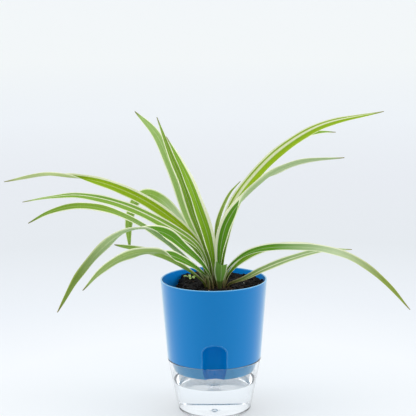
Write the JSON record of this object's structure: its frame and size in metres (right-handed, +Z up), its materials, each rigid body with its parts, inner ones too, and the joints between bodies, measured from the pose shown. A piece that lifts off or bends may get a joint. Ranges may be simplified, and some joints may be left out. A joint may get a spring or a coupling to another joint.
{
  "type": "potted spider plant",
  "caption": "Spider plant with arching cream-edged strap leaves in a tapered blue self-watering pot that stands in a clear water reservoir cup.",
  "frame": {"origin": "centre of the reservoir cup's flat underside, on the surface that the set stands on", "axes": "+Z up; -Y out of the pot's front, where the filling channel is; +X to the right as the front is looked at"},
  "size_m": [0.406, 0.2082, 0.3097],
  "materials": {
    "pot_plastic": "glossy blue moulded polypropylene",
    "clear_plastic": "clear polished moulded styrene plastic",
    "water": "clear water",
    "soil": "damp crumbly potting soil of bark and peat",
    "crown": "brown fibrous rootstock",
    "leaf": "satin green leaf with cream margins",
    "seedling": "soft pale green sprout"
  },
  "bodies": {
    "root": {"reservoir_cup": "clear_plastic", "water": "water", "pot": "pot_plastic", "soil": "soil", "crown": "crown", "seedling": "seedling", "leaf_left_long": "leaf", "leaf_left_upper": "leaf", "leaf_left_inner": "leaf", "leaf_left_middle": "leaf", "leaf_left_drooping": "leaf", "leaf_left_low": "leaf", "leaf_left_short": "leaf", "leaf_left_folded": "leaf", "leaf_top_outer": "leaf", "leaf_top_narrow": "leaf", "leaf_top_broad": "leaf", "leaf_centre_young": "leaf", "leaf_right_long": "leaf", "leaf_right_behind": "leaf", "leaf_right_upper": "leaf", "leaf_right_inner": "leaf", "leaf_right_drooping": "leaf", "leaf_right_low": "leaf", "leaf_front_trimmed": "leaf"}
  },
  "joints": []
}
